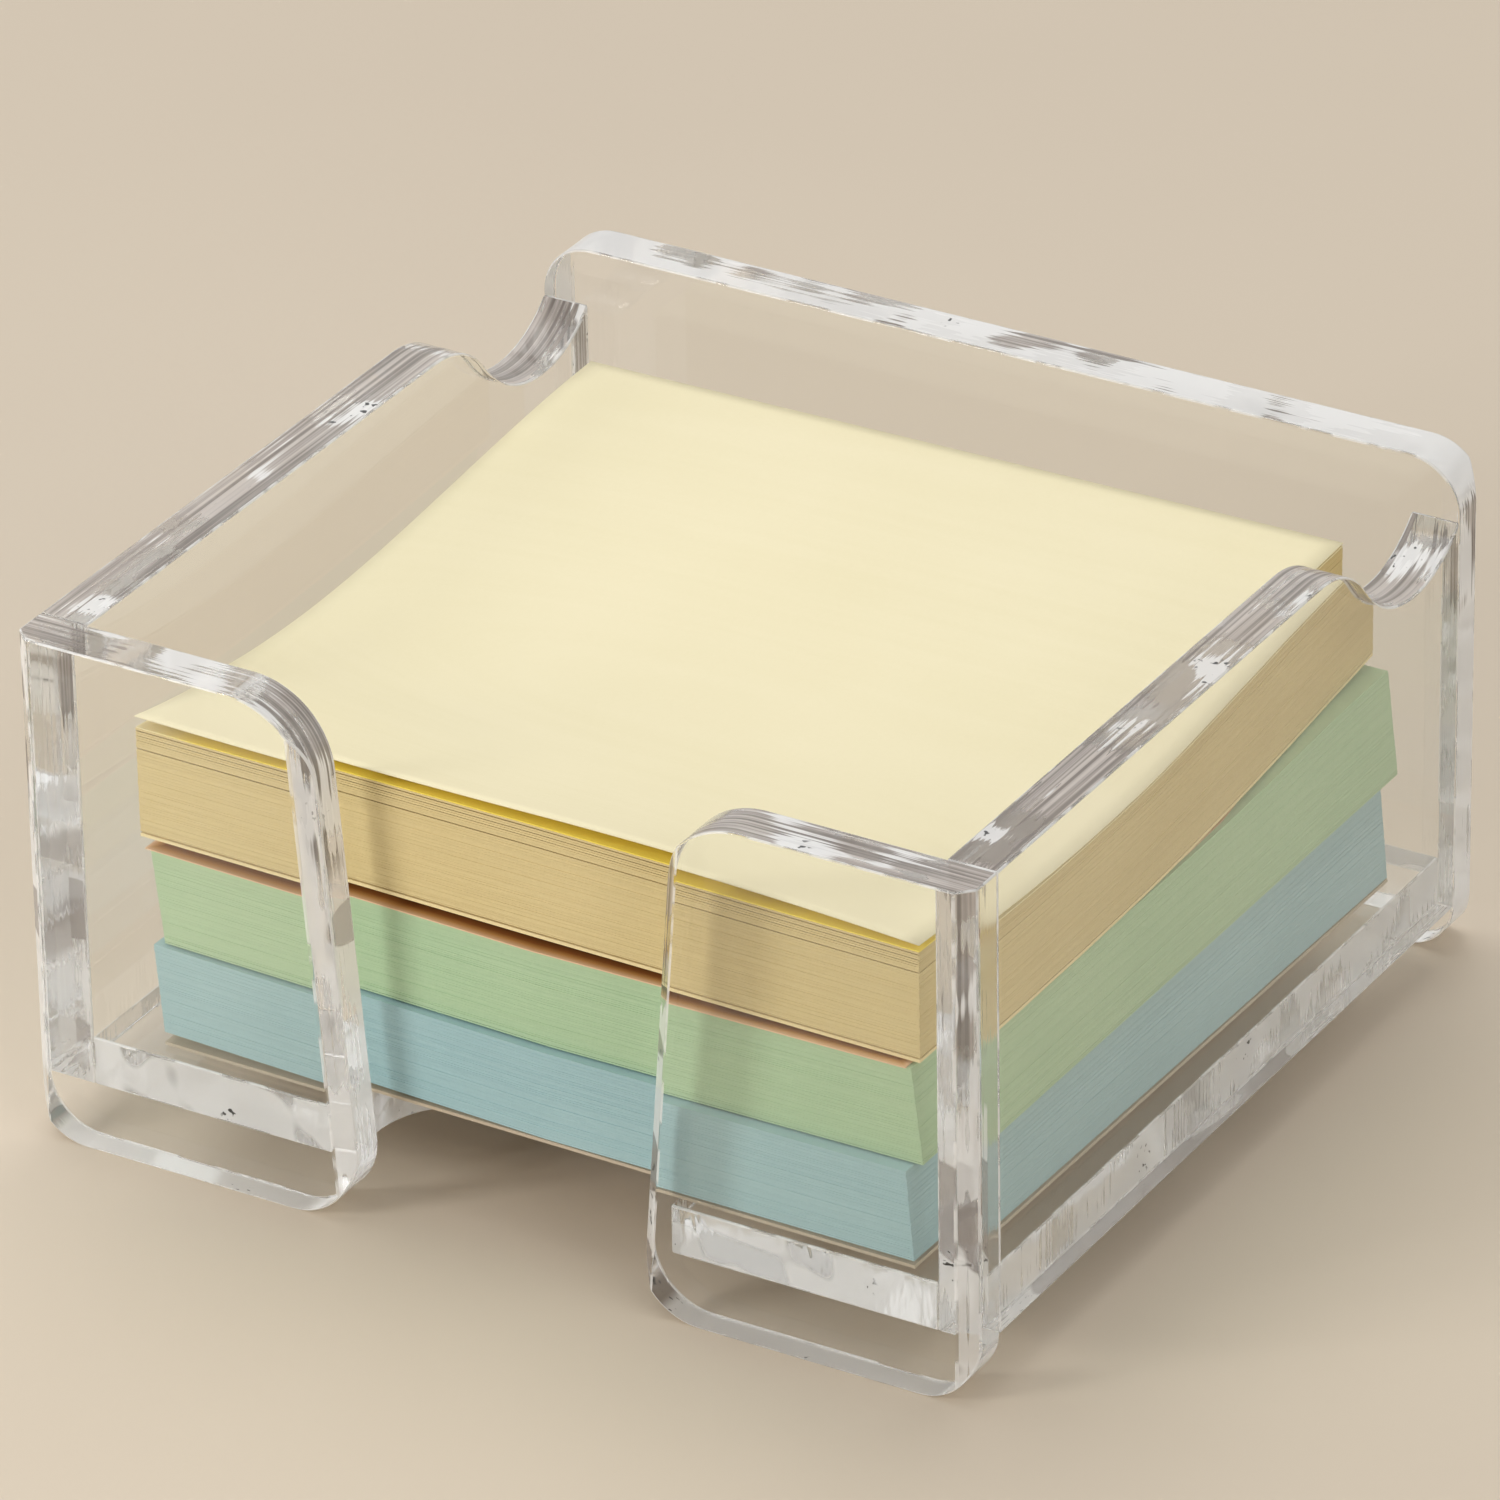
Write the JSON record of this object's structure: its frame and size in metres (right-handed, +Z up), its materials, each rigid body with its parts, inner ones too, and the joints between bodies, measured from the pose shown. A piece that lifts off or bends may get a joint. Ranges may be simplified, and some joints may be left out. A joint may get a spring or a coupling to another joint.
{
  "type": "note pad holder",
  "caption": "Open-topped clear acrylic tray with split front, thumb notch and pen groove, holding stacked square sticky-note pads",
  "frame": {"origin": "Centre of the footprint, on the table.", "axes": "+X runs to the right seen from the front, +Y from the split front to the back wall, +Z up."},
  "size_m": [0.095, 0.093, 0.0498],
  "materials": {
    "clear_acrylic": "clear cast acrylic, polished",
    "backing_card": "smooth card",
    "blue_paper": "matte",
    "green_paper": "matte",
    "peach_paper": "matte",
    "yellow_paper": "matte",
    "top_yellow_paper": "matte"
  },
  "bodies": {
    "holder": {"base_plate": "clear_acrylic", "left_side_wall": "clear_acrylic", "right_side_wall": "clear_acrylic", "back_wall": "clear_acrylic", "front_left_panel": "clear_acrylic", "front_right_panel": "clear_acrylic"},
    "blue_pad": {"blue_pad_backing": "backing_card", "blue_pad_block": "blue_paper", "blue_top_sheet": "blue_paper"},
    "green_pad": {"green_pad_backing": "green_paper", "green_pad_block": "green_paper", "green_top_sheet": "green_paper", "peach_loose_sheet": "peach_paper"},
    "yellow_pad": {"yellow_pad_backing": "backing_card", "yellow_pad_block": "yellow_paper", "yellow_upper_block": "yellow_paper", "yellow_upper_layer": "yellow_paper", "yellow_second_sheet": "yellow_paper"},
    "top_sheet": {"yellow_top_sheet": "top_yellow_paper"}
  },
  "joints": [
    {"name": "blue_pad_lift", "type": "slide", "parent": "holder", "child": "blue_pad", "axis": [0, 0, 1], "range_m": [0, 0.06]},
    {"name": "green_pad_lift", "type": "slide", "parent": "blue_pad", "child": "green_pad", "axis": [0, 0, 1], "range_m": [0, 0.05]},
    {"name": "yellow_pad_lift", "type": "slide", "parent": "green_pad", "child": "yellow_pad", "axis": [0, 0, 1], "range_m": [0, 0.04]},
    {"name": "top_sheet_turn", "type": "hinge", "parent": "yellow_pad", "child": "top_sheet", "pos_m": [-0.00093, 0.03669, 0.0417], "axis": [-0.9998, -0.0175, 0], "range_deg": [0, 90]}
  ]
}
